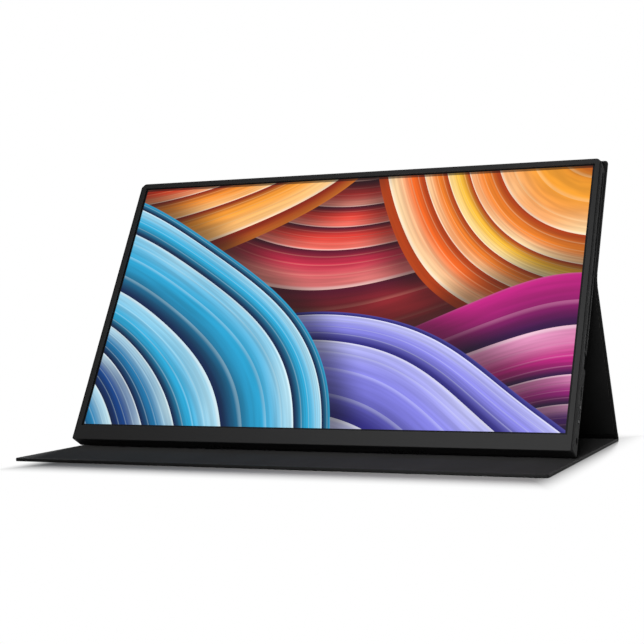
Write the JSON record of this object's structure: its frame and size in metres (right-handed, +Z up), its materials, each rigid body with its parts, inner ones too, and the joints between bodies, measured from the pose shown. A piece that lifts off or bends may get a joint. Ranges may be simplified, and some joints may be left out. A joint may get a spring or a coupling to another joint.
{
  "type": "portable monitor",
  "caption": "Slim portable monitor with a narrow bezel, propped at a lean by a folding leather folio cover that lies under it and forms its leg.",
  "frame": {"origin": "on the table under the middle of the part's box", "axes": "+X to the right of a person facing the screen, +Y away from that person, +Z up"},
  "size_m": [0.3586, 0.1992, 0.1936],
  "materials": {
    "bezel_plastic": "fine matte moulded texture",
    "housing_plastic": "fine matte moulded texture",
    "key_plastic": "satin",
    "screen_glass": "matte anti-glare front with the picture behind it",
    "foam_tape": "closed-cell foam",
    "clear_acrylic": "clear",
    "white_film": "white film",
    "sheet_metal": "stamped sheet",
    "socket_metal": "tin-plated shell",
    "magnet_steel": "plated",
    "screw_steel": "blackened",
    "circuit_board": "solder mask",
    "black_plastic": "moulded",
    "flat_cable": "amber film",
    "folio_leather": "fine-grained coated skin",
    "folio_board": "stiff board",
    "folio_lining": "short-napped microfibre"
  },
  "bodies": {
    "floor_panel": {"floor_magnets": "magnet_steel", "floor_leather": "folio_leather", "floor_board": "folio_board", "floor_lining": "folio_lining"},
    "leg": {"leg_leather": "folio_leather", "leg_board": "folio_board", "leg_lining": "folio_lining"},
    "display": {"front_frame": "bezel_plastic", "rear_housing": "housing_plastic", "lcd_glass": "screen_glass", "panel_gasket": "foam_tape", "diffuser_sheet": "clear_acrylic", "light_guide": "clear_acrylic", "status_light": "clear_acrylic", "reflector_sheet": "white_film", "light_strip": "white_film", "panel_chassis": "sheet_metal", "shield_can": "sheet_metal", "usb_socket_right": "socket_metal", "usb_socket_left": "socket_metal", "video_socket": "socket_metal", "keeper_plate": "magnet_steel", "upper_magnets": "magnet_steel", "casing_screws": "screw_steel", "board_screws": "screw_steel", "main_board": "circuit_board", "side_board": "circuit_board", "panel_driver_board": "circuit_board", "board_chips": "black_plastic", "menu_switch": "black_plastic", "power_switch": "black_plastic", "headphone_socket": "black_plastic", "speaker_left": "black_plastic", "speaker_right": "black_plastic", "display_ribbon": "flat_cable", "side_ribbon": "flat_cable", "upper_leather": "folio_leather", "upper_board": "folio_board", "upper_lining": "folio_lining"},
    "menu_rocker": {"menu_rocker": "key_plastic"},
    "power_key": {"power_key": "key_plastic"}
  },
  "joints": [
    {"name": "leg_fold", "type": "hinge", "parent": "floor_panel", "child": "leg", "pos_m": [0, 0.09845, 0.0011], "axis": [-1, 0, 0], "range_deg": [-16, 17]},
    {"name": "panel_crease", "type": "hinge", "parent": "leg", "child": "display", "pos_m": [0, 0.03722, 0.11156], "axis": [1, 0, 0], "range_deg": [-32, 34]},
    {"name": "menu_tilt", "type": "hinge", "parent": "display", "child": "menu_rocker", "pos_m": [0.1759, 0.00243, 0.06076], "axis": [0, -0.8746, 0.4848], "range_deg": [-3, 3], "stiffness_Nm_per_rad": 0.05},
    {"name": "power_press", "type": "slide", "parent": "display", "child": "power_key", "axis": [1, 0, 0], "range_m": [0, 0.0004], "stiffness_N_per_m": 2500}
  ],
  "couplings": [
    {"joint": "panel_crease", "follows": "leg_fold", "ratio": 2}
  ]
}
